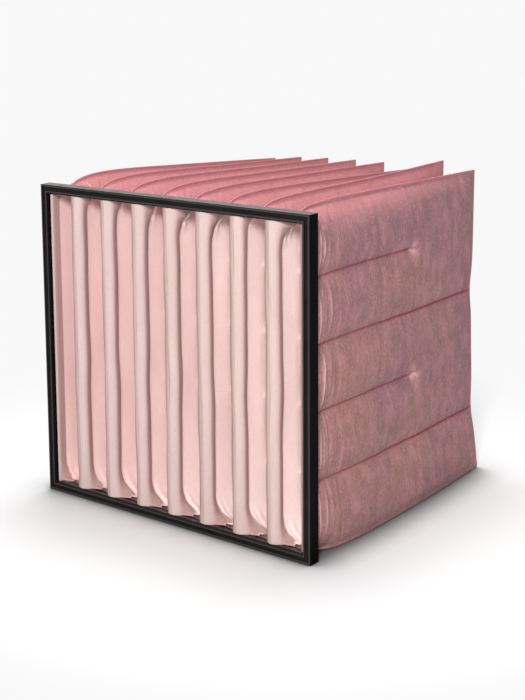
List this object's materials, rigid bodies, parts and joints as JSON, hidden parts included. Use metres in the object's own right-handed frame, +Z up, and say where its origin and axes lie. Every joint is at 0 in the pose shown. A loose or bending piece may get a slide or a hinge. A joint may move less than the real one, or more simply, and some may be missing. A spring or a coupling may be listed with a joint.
{
  "type": "bag air filter",
  "caption": "Pocket air filter: a black header frame holding a row of deep sewn media bags that lean and bulge behind it.",
  "frame": {"origin": "on the floor, under the middle of the filter's width and depth", "axes": "+Z up, -Y out of the header's front where the air enters, +Y back along the pockets, +X to the right seen from the front"},
  "size_m": [0.592, 0.6, 0.6044],
  "materials": {
    "header": "black moulded plastic, satin to glossy",
    "corner_key": "dark moulded plastic, hidden in the header's channel",
    "divider_rod": "plain galvanised wire rod, hidden in the media's folds",
    "media": "pink non-woven synthetic fibre, paler on the dirty-air side"
  },
  "bodies": {
    "root": {"header_bottom": "header", "header_right": "header", "header_top": "header", "header_left": "header", "corner_key_bottom_left": "corner_key", "corner_key_bottom_right": "corner_key", "corner_key_top_left": "corner_key", "corner_key_top_right": "corner_key", "divider_rod_1": "divider_rod", "divider_rod_2": "divider_rod", "divider_rod_3": "divider_rod", "divider_rod_4": "divider_rod", "divider_rod_5": "divider_rod", "divider_rod_6": "divider_rod", "divider_rod_7": "divider_rod", "pocket_1_left_sheet": "media", "pocket_1_right_sheet": "media", "pocket_2_left_sheet": "media", "pocket_2_right_sheet": "media", "pocket_3_left_sheet": "media", "pocket_3_right_sheet": "media", "pocket_4_left_sheet": "media", "pocket_4_right_sheet": "media", "pocket_5_left_sheet": "media", "pocket_5_right_sheet": "media", "pocket_6_left_sheet": "media", "pocket_6_right_sheet": "media", "pocket_7_left_sheet": "media", "pocket_7_right_sheet": "media", "pocket_8_left_sheet": "media", "pocket_8_right_sheet": "media"}
  },
  "joints": []
}
